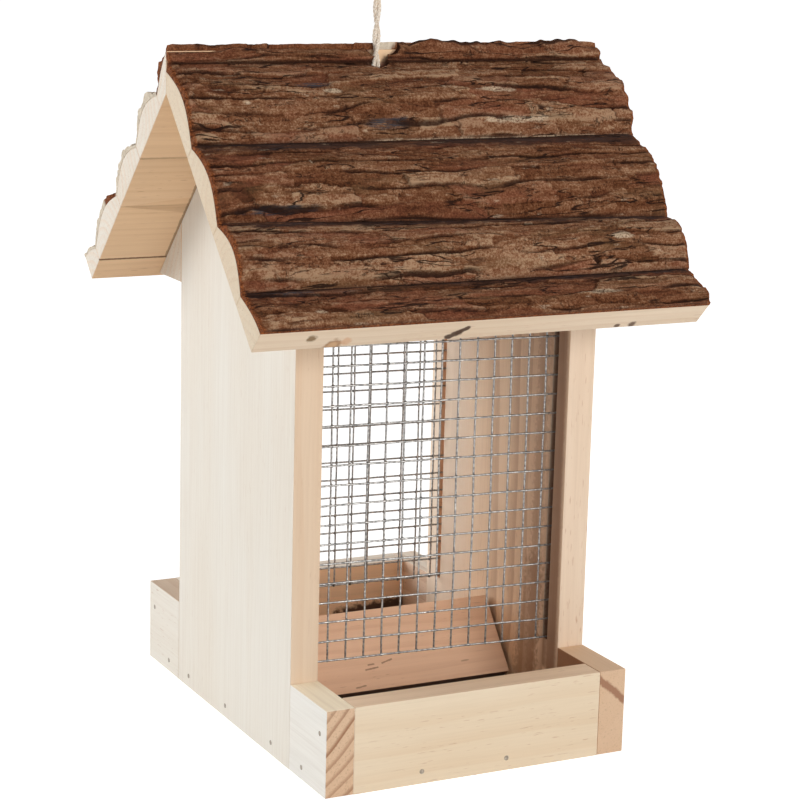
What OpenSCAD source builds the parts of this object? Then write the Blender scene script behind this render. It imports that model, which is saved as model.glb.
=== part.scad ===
// Hanging bird feeder: a pine silo with mesh sides, two seed trays and a lift-off roof of bark slabs.
// X runs along the ridge, the front faces -Y, Z is up, and the middle of the base is the origin.

/* [Walls] */
// Thickness of the two side walls
wall_t = 9.5; // [7:0.5:12]
// Clear width between the side walls
inner_w = 87; // [75:1:105]
// Depth of the side walls from front edge to rear edge
wall_d = 94; // [84:1:104]
// Height of the inner apex of the roof above the base
apex_z = 207.5; // [195:0.5:225]

/* [Trays] */
// Reach of the front tray past the wall's edge, to the outside of its board
front_ext = 27; // [22:0.5:34]
// Reach of the rear tray past the wall's edge, to the outside of its board
rear_ext = 28; // [22:0.5:34]
// Height of the tray boards and end blocks
tray_h = 28; // [24:0.5:29]
// Thickness of the tray boards
tray_t = 9.5; // [7:0.5:12]
// Thickness of the floor panel
floor_t = 8; // [6:0.5:10]

/* [Seed slopes] */
// Thickness of the two sloping boards that lead the seed outwards
seed_t = 5; // [4:0.5:6.5]
// Angle of the sloping boards above the floor
seed_angle = 50; // [44:1:54]
// Distance of each sloping board's foot from the middle of the floor
seed_foot = 14.5; // [11:0.5:16]
// Gap between the sloping boards and the right wall
seed_play = 1.5; // [0.5:0.1:3]

/* [Mesh] */
// Spacing of the welded wires
net_pitch = 6.35; // [6.35:0.05:9]
// Diameter of a wire
wire_d = 0.65; // [0.5:0.05:0.9]
// Height of the lowest wire
net_z = 29.3; // [28.5:0.1:34]
// Width of the groove that holds the net
groove_w = 3; // [2.4:0.1:4]
// Depth of the groove into the wall
groove_depth = 3; // [2:0.5:5]
// Distance of the groove's middle behind the wall's edge
groove_back = 8.7; // [6:0.1:14]
// How far the net's upright wires sit left of the middle
net_shift = 1.2; // [0:0.1:1.6]

/* [Roof] */
// Pitch of both roof panels
roof_pitch = 45; // [42:1:47]
// Length of a panel down its slope, on the underside
slope_len = 97; // [96:1:108]
// Overhang of the roof past each side wall
gable_over = 24; // [15:1:32]
// Width of the top slab of the front panel; a panel's widths are scaled together to fill its slope
front_w1 = 25.5; // [20:0.5:29]
// Width of the second slab of the front panel, at the left end
front_w2 = 29.5; // [24:0.5:31]
// Width of the third slab of the front panel, at the left end
front_w3 = 25.5; // [22:0.5:27]
// Width of the eave slab of the front panel
front_w4 = 16.5; // [12:0.5:20]
// How much further down the second joint of the front panel lies at the right end
front_skew = 4.5; // [0:0.5:8]
// How far the top slab of the front panel runs past the eave slab at the right end
front_past1 = 2.8; // [0:0.1:4]
// How far the second slab of the front panel runs past the eave slab at the right end
front_past2 = 1.6; // [0:0.1:4]
// How far the third slab of the front panel runs past the eave slab at the right end
front_past3 = 1; // [0:0.1:4]
// Width of the top slab of the rear panel
rear_w1 = 6.5; // [5:0.5:9]
// Width of the second slab of the rear panel
rear_w2 = 25.5; // [20:0.5:27]
// Width of the third slab of the rear panel
rear_w3 = 25; // [20:0.5:27]
// Width of the fourth slab of the rear panel
rear_w4 = 29; // [24:0.5:30]
// Width of the eave slab of the rear panel
rear_w5 = 11; // [8:0.5:15]
// Wood thickness along the thin edges of a slab
slab_edge = 4.8; // [4:0.1:6]
// Wood thickness at the crown of a whole slab
slab_crown = 9; // [7.5:0.1:11]
// How far the crowns differ from slab to slab
crown_vary = 0.6; // [0:0.1:1]
// Wood thickness at the sawn eave edge
eave_crown = 9.2; // [8:0.1:11]
// Wood thickness of the rear top slab at the ridge
ridge_crown = 9.3; // [9:0.1:11]

/* [Bark] */
// Bark thickness at the crown of a slab
bark_t = 2.4; // [1.8:0.1:3.5]
// Bark thickness along the edges of a slab
bark_edge = 1.4; // [1:0.1:1.8]
// Bark thickness of the front panel at the ridge
ridge_bark = 2.9; // [2:0.1:3.2]
// Depth of the furrows in the bark
bark_relief = 0.7; // [0:0.1:0.9]
// Height of the ridge strip's top above the underside, square to the front panel
strip_top = 8.9; // [8.2:0.1:8.9]
// How far the ridge strip swells out
strip_swell = 1.6; // [1:0.1:3]
// How far the ridge strip reaches down the top of the bark, as a share of the first furrow's distance
strip_seat = 0.55; // [0.4:0.05:0.9]

/* [Eave rails] */
// Clearance between a rail and the wall's edge that it hooks over
rail_gap = 0.4; // [0.3:0.05:1]
// Distance of the rail's toe from the eave edge
rail_toe = 1.5; // [0.5:0.1:4]

/* [Hanger] */
// Diameter of the jute twine
twine_d = 1.4; // [1:0.1:1.6]
// Place of the twine along the ridge
hanger_x = -6; // [-8:0.5:-2]
// Distance of the twine in front of the rear top slab
hanger_fore = 1.75; // [1.7:0.05:2]
// Diameter of the half-round notch for the twine in the front panel's top edge
notch_d = 8; // [7.8:0.1:10]
// How far the notch's middle lies to the right of the twine
notch_off = 0.8; // [0:0.1:1.2]
// Diameter of the twine's hole in each side wall
twine_hole_d = 3; // [2.6:0.1:4]
// Distance of the twine's hole below the roof's inner apex
twine_hole_drop = 17.5; // [15:0.5:22]
// Diameter of the knots
knot_d = 5; // [4:0.1:7]

/* [Brads] */
// Shank diameter of the brads
brad_d = 1; // [0.8:0.1:1.3]
// Head diameter of the brads
brad_head_d = 1.6; // [1.5:0.1:2.4]
// Head thickness of the brads
brad_head_t = 0.6; // [0.4:0.1:1]
// How far the brads' heads stand out of the wood
brad_proud = 0.05; // [0.02:0.01:0.2]
// Length of the brads in the walls and trays
brad_len = 20; // [16:1:24]
// Distance of the floor brads from the line of the wall's edge
brad_inset = 9.3; // [7:0.1:11]
// Distance of the middle floor brad behind the wall's middle
brad_middle = 5; // [0:1:10]
// Distance of the front and rear floor brads from the middle
brad_spread = 15; // [5:1:25]
// Height of the brads through the tray's end blocks
tray_brad_z = 19.5; // [16:0.5:20]
// Distance of the roof brads from the slab joint between them
roof_brad_off = 2.5; // [2:0.1:3]
// Wood left between the tip of a roof brad and the face of the rail
roof_brad_cover = 1.2; // [0.8:0.1:3]
// Distance of the roof brads inside the wall's outer face
roof_brad_in = 9; // [6:0.5:12]

/* [Clearances] */
// Gap between the roof's underside and the walls' top edges
roof_gap = 0.15; // [0.1:0.05:0.5]
// Gap between the net and the ends of its grooves
net_gap = 0.3; // [0.1:0.1:0.6]

/* [Hidden] */
outer_w = inner_w + 2 * wall_t;
roof_len = outer_w + 2 * gable_over;
wall_edge = wall_d / 2;
groove_y = wall_edge - groove_back;
tan_p = tan(roof_pitch);
cos_p = cos(roof_pitch);
sin_p = sin(roof_pitch);
wall_apex = apex_z - roof_gap / cos_p;
twine_hole_z = apex_z - twine_hole_drop;
past = 1;

// Reach of a tray, and the outer face of its board; edge is -1 front, 1 rear
function tray_ext(edge) = edge < 0 ? front_ext : rear_ext;
function tray_face(edge) = edge * (wall_edge + tray_ext(edge));

// Slab joints, measured down the underside from the inner apex
front_fill = slope_len / (front_w1 + front_w2 + front_w3 + front_w4);
front_j1 = front_fill * front_w1;
front_j2 = front_j1 + front_fill * front_w2;
front_j3 = front_j2 + front_fill * front_w3;
rear_fill = slope_len / (rear_w1 + rear_w2 + rear_w3 + rear_w4 + rear_w5);
rear_j1 = rear_fill * rear_w1;
rear_j2 = rear_j1 + rear_fill * rear_w2;
rear_j3 = rear_j2 + rear_fill * rear_w3;
rear_j4 = rear_j3 + rear_fill * rear_w4;

// A slab is [upper joint, lower joint, crown, arch start, arch end, upper drop, lower drop, extra length].
// The arch runs from 0 to 1 over a whole slab; a drop is how much lower a joint lies at the right end,
// and the extra length is how far the slab runs past the roof's right end.
function crown(i) = slab_crown + crown_vary * sin(137 * i);
front_slabs = [
    [0, front_j1, crown(1), 0, 1, 0, 0, front_past1],
    [front_j1, front_j2, crown(3), 0, 1, 0, front_skew, front_past2],
    [front_j2, front_j3, crown(6), 0, 1, front_skew, 0, front_past3],
    [front_j3, slope_len, eave_crown, 0, 0.5, 0, 0, 0],
];
rear_slabs = [
    [0, rear_j1, ridge_crown, 0.5, 1, 0, 0, 0],
    [rear_j1, rear_j2, crown(6), 0, 1, 0, 0, 0],
    [rear_j2, rear_j3, crown(11), 0, 1, 0, 0, 0],
    [rear_j3, rear_j4, crown(3), 0, 1, 0, 0, 0],
    [rear_j4, slope_len, eave_crown, 0, 0.5, 0, 0, 0],
];

// Back and toe of the eave rails, and the depth of a rail under its panel at a distance down the slope
rail_back = wall_edge + rail_gap;
rail_toe_s = slope_len - rail_toe;
function rail_depth(s) = min((s * cos_p - rail_back) / sin_p, (rail_toe_s - s) * tan_p);

// Places of the roof brads down the slope, the height of their heads, and one length that suits them all
function roof_brad_s(edge, way) = (edge < 0 ? front_j3 : rear_j4) + way * roof_brad_off;
roof_brad_head = slab_edge + brad_head_t / 2;
roof_brad_room = min([for (edge = [-1, 1], way = [-1, 1]) rail_depth(roof_brad_s(edge, way))]);
roof_brad_len = roof_brad_head + roof_brad_room - roof_brad_cover;

arch_steps = 8;
bark_steps = 12;
bark_stations = 8;
function stations(extra) = [
    for (k = [0 : bark_stations]) (roof_len + extra) * k / bark_stations - roof_len / 2
];

// The twine above the box, from the place where the notch meets the roof's inner apex:
// in from the left, up in two crossing strands to the hanging loop, and down again to the right
LOOP = [
    [-13, 1, -11.5], [-2.8, 0.3, -5.5], [-1, 0, 1.5],
    [-1, 0, 9], [0, -0.75, 13.5], [1, 0, 18], [0, 0.75, 22.5], [-1, 0, 27], [0, -0.75, 32.5],
    [1, 0, 38.5], [0, 0.75, 45], [-1, 0, 51.5],
    [-1.1, 0, 60], [-1.6, 0, 69], [-2.3, 0, 77.5], [-1.7, 0, 82.8], [0, 0, 84.6],
    [1.7, 0, 82.8], [2.3, 0, 77.5], [1.6, 0, 69], [1.1, 0, 60],
    [1, 0, 51.5], [0, -0.75, 45], [-1, 0, 38.5], [0, 0.75, 32.5], [1, 0, 27], [0, -0.75, 22.5],
    [-1, 0, 18], [0, 0.75, 13.5], [1, 0, 9],
    [1, 0, 1.5], [2.8, 0.3, -5.5], [13, 1, -11],
];
// The twine from the left knot through the wall, round the loop and out through the right wall
TWINE = concat(
    [
        [-outer_w / 2 - 2, 0, twine_hole_z], [-inner_w / 2 - wall_t / 2, 0, twine_hole_z],
        [-inner_w / 2 + 7.5, 0, twine_hole_z + 1.3],
    ],
    [for (p = LOOP) [hanger_x, -hanger_fore, apex_z] + p],
    [
        [inner_w / 2 - 10.5, 0, twine_hole_z + 1.8], [inner_w / 2 + wall_t / 2, 0, twine_hole_z],
        [outer_w / 2 + 2, 0, twine_hole_z],
    ]
);
twine_sides = 8;

// Side wall: gabled board with two stopped grooves and a hole for the twine; side is -1 left, 1 right
module side_wall(side) {
    color("BurlyWood")
        difference() {
            translate([side * (inner_w + wall_t) / 2, 0, 0])
                rotate([90, 0, 90])
                    linear_extrude(height = wall_t, center = true)
                        polygon([
                            [-wall_edge, 0], [wall_edge, 0], [wall_edge, wall_apex - wall_edge * tan_p],
                            [0, wall_apex], [-wall_edge, wall_apex - wall_edge * tan_p],
                        ]);
            for (edge = [-1, 1])
                translate([
                    side * inner_w / 2 - groove_depth, edge * groove_y - groove_w / 2,
                    net_z - wire_d / 2 - net_gap,
                ])
                    cube([2 * groove_depth, groove_w, apex_z]);
            translate([side * (inner_w + wall_t) / 2, 0, twine_hole_z])
                rotate([0, 90, 0])
                    cylinder(h = wall_t + 2 * past, d = twine_hole_d, center = true, $fn = 32);
        }
}

// Floor panel between the walls and the two tray boards
module floor_panel() {
    color("Wheat")
        translate([-inner_w / 2, tray_face(-1) + tray_t, 0])
            cube([inner_w, tray_face(1) - tray_face(-1) - 2 * tray_t, floor_t]);
}

// Tray board between the end blocks; edge is -1 front, 1 rear
module tray_board(edge) {
    color("Wheat")
        translate([-inner_w / 2, tray_face(edge) - (edge + 1) * tray_t / 2, 0])
            cube([inner_w, tray_t, tray_h]);
}

// Tray end block, in line with the side wall
module tray_end(edge, side) {
    color("BurlyWood")
        translate([
            side * (inner_w + wall_t) / 2 - wall_t / 2,
            edge < 0 ? tray_face(edge) : wall_edge,
            0,
        ])
            cube([wall_t, tray_ext(edge), tray_h]);
}

// Sloping board from the middle of the floor towards one tray, cut plumb where the two meet
module seed_slope(edge) {
    length = inner_w - seed_play;
    face_y = seed_foot + seed_t * sin(seed_angle);
    face_z = floor_t + seed_t * cos(seed_angle);
    color("Tan")
        translate([-inner_w / 2, 0, 0])
            rotate([90, 0, 90])
                linear_extrude(height = length)
                    polygon([
                        [edge * seed_foot, floor_t], [edge * face_y, face_z],
                        [0, face_z + face_y * tan(seed_angle)], [0, floor_t + seed_foot * tan(seed_angle)],
                    ]);
}

// Welded net: upright wires behind level wires, joined where they cross, standing in the walls' grooves
module net(edge) {
    weld = wire_d / 6;
    level_l = inner_w + 2 * (groove_depth - net_gap);
    half_cols = floor((inner_w - net_pitch / 2) / (2 * net_pitch) + 0.5);
    top_room = wall_apex - groove_y * tan_p - net_pitch / 2;
    rows = floor((top_room - net_z) / net_pitch);
    stub = net_pitch / 3;
    color("Silver")
        translate([0, edge * groove_y, net_z]) {
            for (i = [0 : 2 * half_cols - 1])
                translate([
                    (i - half_cols + 0.5) * net_pitch - net_shift,
                    -edge * (wire_d - weld) / 2,
                    -wire_d / 2,
                ])
                    cylinder(h = rows * net_pitch + stub, d = wire_d, $fn = 24);
            for (j = [0 : rows])
                translate([0, edge * (wire_d - weld) / 2, j * net_pitch])
                    rotate([0, 90, 0])
                        cylinder(h = level_l, d = wire_d, center = true, $fn = 24);
        }
}

// Brad driven into the plane Z = 0, with its shank pointing down
module brad(length) {
    translate([0, 0, brad_proud - length])
        cylinder(h = length, d = brad_d, $fn = 16);
    translate([0, 0, brad_proud - brad_head_t])
        cylinder(h = brad_head_t, d = brad_head_d, $fn = 16);
}

// Brads through the walls, end blocks and tray boards into the floor's edges
module floor_brads() {
    along = [
        -wall_edge - brad_inset, -wall_edge + brad_inset + brad_middle, brad_middle,
        wall_edge - brad_inset, wall_edge + brad_inset,
    ];
    color("Gray") {
        for (side = [-1, 1], y = along)
            translate([side * outer_w / 2, y, floor_t / 2])
                rotate([0, side * 90, 0])
                    brad(brad_len);
        for (edge = [-1, 1], x = [-1, 1])
            translate([x * brad_spread - brad_middle, tray_face(edge), floor_t / 2])
                rotate([-edge * 90, 0, 0])
                    brad(brad_len);
    }
}

// Brads through the end blocks into the ends of the tray boards
module tray_brads() {
    color("Gray")
        for (side = [-1, 1], edge = [-1, 1])
            translate([side * outer_w / 2, tray_face(edge) - edge * tray_t / 2, tray_brad_z])
                rotate([0, side * 90, 0])
                    brad(brad_len);
}

// Point on a panel: x along the ridge, s down the slope, n square to it; edge is -1 front, 1 rear
function on_panel(edge, x, s, n) = [x, edge * (s * cos_p + n * sin_p), apex_z - s * sin_p + n * cos_p];

// Wood thickness and place of a slab at share u of its width; a top slab starts on the ridge's mitre
function arch(slab, u) = sin(180 * (slab[3] + (slab[4] - slab[3]) * u));
function wood_n(slab, u) = slab_edge + (slab[2] - slab_edge) * arch(slab, u);
function slab_start(slab) = slab[0] > 0 ? slab[0] : -wood_n(slab, 0) * tan_p;
function upper_s(slab, x) = slab_start(slab) + slab[5] * (x / roof_len + 0.5);
function lower_s(slab, x) = slab[1] + slab[6] * (x / roof_len + 0.5);
function wood_s(slab, u, x) = upper_s(slab, x) + (lower_s(slab, x) - upper_s(slab, x)) * u;
function wood_line(slab, x) = [
    for (j = [0 : arch_steps]) [wood_s(slab, j / arch_steps, x), wood_n(slab, j / arch_steps)]
];

// Half-round slab of sapwood with a flat underside; one with an askew joint tapers from end to end
module slab_wood(edge, slab) {
    if (slab[5] == 0 && slab[6] == 0)
        mirror([0, edge > 0 ? 1 : 0, 0])
            translate([slab[7] / 2, 0, apex_z])
                rotate([90, 0, -90])
                    rotate([0, 0, -roof_pitch])
                        linear_extrude(height = roof_len + slab[7], center = true)
                            polygon(concat([[slab[0], 0]], wood_line(slab, 0), [[slab[1], 0]]));
    else
        loft([
            for (x = stations(slab[7])) [
                for (p = concat([[upper_s(slab, x), 0]], wood_line(slab, x), [[lower_s(slab, x), 0]]))
                    on_panel(edge, x, p[0], p[1])
            ]
        ], edge < 0);
}

// Notch for the twine in the front panel's top edge
module twine_notch() {
    translate([hanger_x + notch_off, 0, apex_z - notch_d])
        cylinder(h = 5 * notch_d, d = notch_d, $fn = 48);
}

// Solid between rings of points; flip turns its faces for a mirrored panel
module loft(rings, flip) {
    n = len(rings[0]);
    last = len(rings) - 1;
    sides = [
        for (k = [0 : last - 1], j = [0 : n - 1], half = [0, 1])
            let (a = k * n + j, b = k * n + (j + 1) % n)
                half == 0 ? [a, b, b + n] : [a, b + n, a + n]
    ];
    caps = [[for (j = [n - 1 : -1 : 0]) j], [for (j = [0 : n - 1]) last * n + j]];
    faces = concat(sides, caps);
    polyhedron(
        points = [for (ring = rings) each ring],
        faces = flip ? [for (f = faces) [for (i = [len(f) - 1 : -1 : 0]) f[i]]] : faces
    );
}

// Bark thickness over a slab, with furrows that wander along the slab and fade out at its edges
function furrow(x, u, seed) =
    let (wander = 3.5 * u + 0.4 * sin(3.1 * x + 80 * seed))
        sin(360 * wander + 77 * seed) * min(1, 3 * sin(180 * u));
function bark_b(x, u, seed) =
    let (calm = u < 1.5 / bark_steps ? 0 : 1)
        bark_edge + (bark_t - bark_edge) * sin(180 * u) + calm * bark_relief * furrow(x, u, seed);
function top_b(edge, slab, u) =
    edge < 0 && slab[0] == 0 ? (ridge_bark - bark_edge) * pow(max(0, 1 - 3 * u), 2) : 0;
function bark_point(edge, slab, x, u, seed) =
    let (n = wood_n(slab, u) + bark_b(x, u, seed) + top_b(edge, slab, u))
        slab[0] == 0 && u == 0 ? [-n * tan_p, n] : [wood_s(slab, u, x), n];

// Bark skin that lies on a slab
module slab_bark(edge, slab, seed) {
    rings = [
        for (x = stations(slab[7]))
            concat(
                [for (p = wood_line(slab, x)) on_panel(edge, x, p[0], p[1])],
                [
                    for (j = [bark_steps : -1 : 0])
                        let (p = bark_point(edge, slab, x, j / bark_steps, seed))
                            on_panel(edge, x, p[0], p[1])
                ]
            )
    ];
    loft(rings, edge > 0);
}

// Front panel, whose top slab and its bark are notched for the twine
module notched(i) {
    if (i == 0)
        difference() {
            children();
            twine_notch();
        }
    else
        children();
}
module front_slab(i) {
    color("Wheat") notched(i) slab_wood(-1, front_slabs[i]);
}
module front_bark(i) {
    color("SaddleBrown") notched(i) slab_bark(-1, front_slabs[i], i + 1);
}

// Rear panel, whose top slab rises past the front panel to the ridge
module rear_slab(i) {
    color("Wheat") slab_wood(1, rear_slabs[i]);
}
module rear_bark(i) {
    color("SaddleBrown") slab_bark(1, rear_slabs[i], i + 11);
}

// Narrow bark-faced strip in the corner between the front panel's top and the rear top slab
module ridge_strip() {
    top = front_slabs[0];
    steps = 6;
    low = bark_point(-1, top, 0, 0, 1);
    high = [-strip_top * tan_p, strip_top];
    seat = low + strip_seat * (bark_point(-1, top, 0, 1 / bark_steps, 1) - low);
    rings = [
        for (x = stations(0))
            concat(
                [on_panel(-1, x, high[0], high[1]), on_panel(-1, x, low[0], low[1])],
                [
                    for (j = [0 : steps - 1])
                        let (
                            u = j / steps,
                            rough = 1 + bark_relief * sin(4 * x + 90 * j) / 2,
                            swell = strip_swell * sin(180 * u) * rough,
                            p = seat + (high - seat) * u + [0.3, 1] * swell
                        )
                            on_panel(-1, x, p[0], p[1])
                ]
            )
    ];
    color("SaddleBrown")
        difference() {
            loft(rings, false);
            twine_notch();
        }
}

// Three-cornered rail under a panel's eave, hooked over the edges of the walls
module eave_rail(edge) {
    toe_z = apex_z - rail_toe_s * sin_p;
    color("Tan")
        rotate([90, 0, 90])
            linear_extrude(height = outer_w, center = true)
                polygon([
                    [edge * rail_back, apex_z - rail_back * tan_p],
                    [edge * rail_back, toe_z], [edge * rail_toe_s * cos_p, toe_z],
                ]);
}

// Brads through the two lowest slabs of each panel into its eave rail
module roof_brads() {
    color("Gray")
        for (edge = [-1, 1], side = [-1, 1], way = [-1, 1])
            translate(on_panel(
                edge, side * (outer_w / 2 - roof_brad_in), roof_brad_s(edge, way), roof_brad_head
            ))
                rotate([-edge * roof_pitch, 0, 0])
                    brad(roof_brad_len);
}

// Twine: a tube swept along a smooth curve through the route's points
function route(i) = TWINE[min(max(i, 0), len(TWINE) - 1)];
function between(i) = (9 * (route(i) + route(i + 1)) - route(i - 1) - route(i + 2)) / 16;
function unit(v) = v / norm(v);
module hanger_twine() {
    line = [for (i = [0 : len(TWINE) - 2]) each [route(i), between(i)]];
    path = concat(line, [route(len(TWINE) - 1)]);
    last = len(path) - 1;
    rings = [
        for (i = [0 : last])
            let (
                along = unit(path[min(i + 1, last)] - path[max(i - 1, 0)]),
                across = unit(cross(along, [0, 1, 0])),
                over = cross(along, across)
            )
                [
                    for (j = [0 : twine_sides - 1])
                        let (turn = 360 * j / twine_sides)
                            path[i] + (across * cos(turn) + over * sin(turn)) * twine_d / 2
                ]
    ];
    color("Peru") loft(rings, true);
}

// Stopper knot against the outer face of a side wall
module twine_knot(side) {
    color("Peru")
        translate([side * outer_w / 2, 0, twine_hole_z])
            rotate([0, side * 90, 0])
                rotate_extrude($fn = 32)
                    intersection() {
                        translate([0, knot_d / 3])
                            circle(d = knot_d, $fn = 32);
                        square(knot_d);
                    }
}

side_wall(-1);  // left_wall
side_wall(1);  // right_wall
floor_panel();
tray_board(-1);  // tray_front
tray_board(1);  // tray_rear
tray_end(-1, -1);  // tray_end_front_left
tray_end(-1, 1);  // tray_end_front_right
tray_end(1, -1);  // tray_end_rear_left
tray_end(1, 1);  // tray_end_rear_right
seed_slope(-1);  // seed_slope_front
seed_slope(1);  // seed_slope_rear
net(-1);  // mesh_front
net(1);  // mesh_rear
floor_brads();
tray_brads();
hanger_twine();
twine_knot(-1);  // twine_knot_left
twine_knot(1);  // twine_knot_right
for (i = [0 : len(front_slabs) - 1]) {
    front_slab(i);
    front_bark(i);
}
for (i = [0 : len(rear_slabs) - 1]) {
    rear_slab(i);
    rear_bark(i);
}
ridge_strip();
eave_rail(-1);  // eave_rail_front
eave_rail(1);  // eave_rail_rear
roof_brads();
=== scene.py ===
"""Looks of a hanging bird feeder: pine box, welded nets, bark slab roof and jute hanger."""

import math
from collections import namedtuple

import bpy
import numpy as np
from mathutils import Matrix, Vector


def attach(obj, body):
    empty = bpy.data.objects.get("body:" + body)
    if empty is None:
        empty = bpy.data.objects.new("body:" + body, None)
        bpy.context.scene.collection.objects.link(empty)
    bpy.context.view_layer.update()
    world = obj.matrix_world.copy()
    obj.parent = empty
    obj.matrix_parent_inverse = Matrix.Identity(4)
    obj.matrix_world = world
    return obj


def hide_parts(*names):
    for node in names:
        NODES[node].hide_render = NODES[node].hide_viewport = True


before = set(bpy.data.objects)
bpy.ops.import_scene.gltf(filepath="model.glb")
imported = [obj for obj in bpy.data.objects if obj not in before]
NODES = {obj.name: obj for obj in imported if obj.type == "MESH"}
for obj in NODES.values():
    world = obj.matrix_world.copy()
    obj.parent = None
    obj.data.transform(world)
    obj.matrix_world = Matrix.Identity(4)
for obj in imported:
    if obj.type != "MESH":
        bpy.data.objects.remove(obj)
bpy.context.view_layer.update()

# Sizes in millimetres, as in the part's source
MM = 0.001
APEX_Z = 207.5
ROOF_LEN = 154.0
SLOPE_LEN = 97.0
HALF_ROOT = math.sqrt(0.5)
SLAB_EDGE = 4.8
EAVE_CROWN = 9.2
RIDGE_CROWN = 9.3
BARK_T = 2.4
BARK_EDGE = 1.4
RIDGE_BARK = 2.9
HANGER = (-6.0, -1.75)
NOTCH_X, NOTCH_Y, NOTCH_R = -5.3, 0.8, 4.5
TORN_AT, TORN_R = (-0.7, -1.2, 222.0), 3.3
WALL_OUT = 53.0
WALL_IN = 43.5
GROOVE_X = 45.2
GABLE_TOP = 215.0
TWINE_Z = 190.0
NET_PITCH, WIRE_D, NET_Z, NET_Y = 6.35, 0.65, 29.3, 38.3
NET_COLS, NET_ROWS = 14, 22

# Width of the eased edges on boards and the gap that is closed before, in metres
EASE = 0.00028
WELD_GAP = 0.000002


def crown(i):
    """Crown of a whole slab, which differs a little from slab to slab."""
    return 9.0 + 0.6 * math.sin(math.radians(137 * i))


# Joints down the slope, crown, share of the arch, drop of the joints at the right end, extra length there
Slab = namedtuple("Slab", "upper lower crown arch_from arch_to upper_drop lower_drop extra")
FRONT_SLABS = [
    Slab(0, 25.5, crown(1), 0, 1, 0, 0, 2.8),
    Slab(25.5, 55, crown(3), 0, 1, 0, 4.5, 1.6),
    Slab(55, 80.5, crown(6), 0, 1, 4.5, 0, 1.0),
    Slab(80.5, SLOPE_LEN, EAVE_CROWN, 0, 0.5, 0, 0, 0),
]
REAR_SLABS = [
    Slab(0, 6.5, RIDGE_CROWN, 0.5, 1, 0, 0, 0),
    Slab(6.5, 32, crown(6), 0, 1, 0, 0, 0),
    Slab(32, 57, crown(11), 0, 1, 0, 0, 0),
    Slab(57, 86, crown(3), 0, 1, 0, 0, 0),
    Slab(86, SLOPE_LEN, EAVE_CROWN, 0, 0.5, 0, 0, 0),
]


def srgb(r, g, b):
    """Linear colour of an 8-bit screen colour."""
    def lin(c):
        c /= 255
        return c / 12.92 if c <= 0.04045 else ((c + 0.055) / 1.055) ** 2.4
    return (lin(r), lin(g), lin(b), 1.0)


def dimmed(colour, share):
    """Linear colour of a share of an 8-bit screen colour."""
    return srgb(*[share * c for c in colour])


# Noise in numpy, so that shapes come out the same each run
def lattice(ix, iy, seed):
    """A number from 0 to 1 for each lattice point."""
    h = (ix.astype(np.int64) * 374761393 + iy.astype(np.int64) * 668265263 + seed * 974634277) & 0xFFFFFFFF
    h = ((h ^ (h >> 13)) * 1274126177) & 0xFFFFFFFF
    h = ((h ^ (h >> 16)) * 2246822519) & 0xFFFFFFFF
    return ((h ^ (h >> 15)) & 0xFFFFFF) / float(0xFFFFFF)


def smooth(lo, hi, v):
    """Smooth step from 0 at lo to 1 at hi."""
    t = np.clip((v - lo) / (hi - lo), 0, 1)
    return t * t * (3 - 2 * t)


def perlin(x, y, seed):
    """Gradient noise, about -0.7 to 0.7."""
    ix, iy = np.floor(x), np.floor(y)
    fx, fy = x - ix, y - iy
    ux, uy = fx ** 3 * (fx * (fx * 6 - 15) + 10), fy ** 3 * (fy * (fy * 6 - 15) + 10)

    def corner(dx, dy):
        a = lattice(ix + dx, iy + dy, seed) * 2 * math.pi
        return np.cos(a) * (fx - dx) + np.sin(a) * (fy - dy)

    low = corner(0, 0) + (corner(1, 0) - corner(0, 0)) * ux
    high = corner(0, 1) + (corner(1, 1) - corner(0, 1)) * ux
    return low + (high - low) * uy


def fbm(x, y, seed, octaves=3):
    """Sum of ever finer gradient noise."""
    total, size = 0.0, 1.0
    for k in range(octaves):
        total = total + perlin(x / size, y / size, seed + 31 * k) * size
        size *= 0.5
    return total


class Nodes:
    """A node tree with short calls for the nodes that are used here."""

    def __init__(self, tree):
        self.tree = tree

    def put(self, socket, value):
        if isinstance(value, bpy.types.NodeSocket):
            self.tree.links.new(value, socket)
        elif value is not None:
            socket.default_value = value

    def node(self, kind, inputs=(), **props):
        n = self.tree.nodes.new(kind)
        for key, value in props.items():
            setattr(n, key, value)
        for key, value in dict(inputs).items():
            self.put(n.inputs[key], value)
        return n

    def math(self, op, a, b=None, c=None):
        return self.node("ShaderNodeMath", {0: a, 1: b, 2: c}, operation=op).outputs[0]

    def vec(self, op, a, b=None):
        n = self.node("ShaderNodeVectorMath", {0: a, 1: b}, operation=op)
        return n.outputs["Value"] if op in ("LENGTH", "DISTANCE", "DOT_PRODUCT") else n.outputs[0]

    def noise(self, vector, size=(1, 1, 1), detail=3.0, rough=0.55):
        scaled = self.vec("MULTIPLY", vector, size)
        n = self.node("ShaderNodeTexNoise", {
            "Vector": scaled, "Scale": 1.0, "Detail": detail, "Roughness": rough,
        })
        return n.outputs["Fac"]

    def span(self, value, lo, hi, to_lo=0.0, to_hi=1.0):
        limits = {0: value, 1: lo, 2: hi, 3: to_lo, 4: to_hi}
        return self.node("ShaderNodeMapRange", limits, interpolation_type="SMOOTHSTEP").outputs[0]

    def mix(self, fac, a, b, mode="MIX"):
        n = self.node("ShaderNodeMix", {0: fac, 6: a, 7: b}, data_type="RGBA", blend_type=mode)
        return n.outputs[2]


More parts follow.
